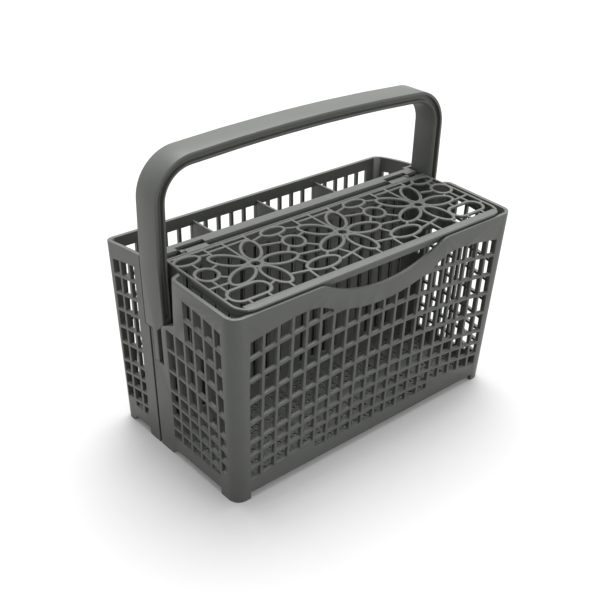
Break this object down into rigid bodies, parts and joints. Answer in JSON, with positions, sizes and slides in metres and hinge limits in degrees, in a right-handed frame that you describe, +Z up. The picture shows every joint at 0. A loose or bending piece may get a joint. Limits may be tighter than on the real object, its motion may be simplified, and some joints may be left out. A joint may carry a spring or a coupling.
{
  "type": "dishwasher cutlery basket",
  "caption": "Moulded plastic cutlery basket for a dishwasher, with a bow handle, a hinged grille lid over its deep front part and a narrow divided rear part.",
  "frame": {"origin": "centre of the bounding box on the plane that the feet stand on", "axes": "+Z up, +X along the width to the right seen from the front, -Y towards the front wall with the finger dip"},
  "size_m": [0.24, 0.13, 0.205],
  "materials": {
    "basket_plastic": "fine grained, satin"
  },
  "bodies": {
    "basket": {"front_basket": "basket_plastic", "rear_basket": "basket_plastic", "handle": "basket_plastic"},
    "lid": {"lid": "basket_plastic"}
  },
  "joints": [
    {"name": "lid_hinge", "type": "hinge", "parent": "basket", "child": "lid", "pos_m": [0, 0.0134, 0.1364], "axis": [-1, 0, 0], "range_deg": [0, 70]}
  ]
}
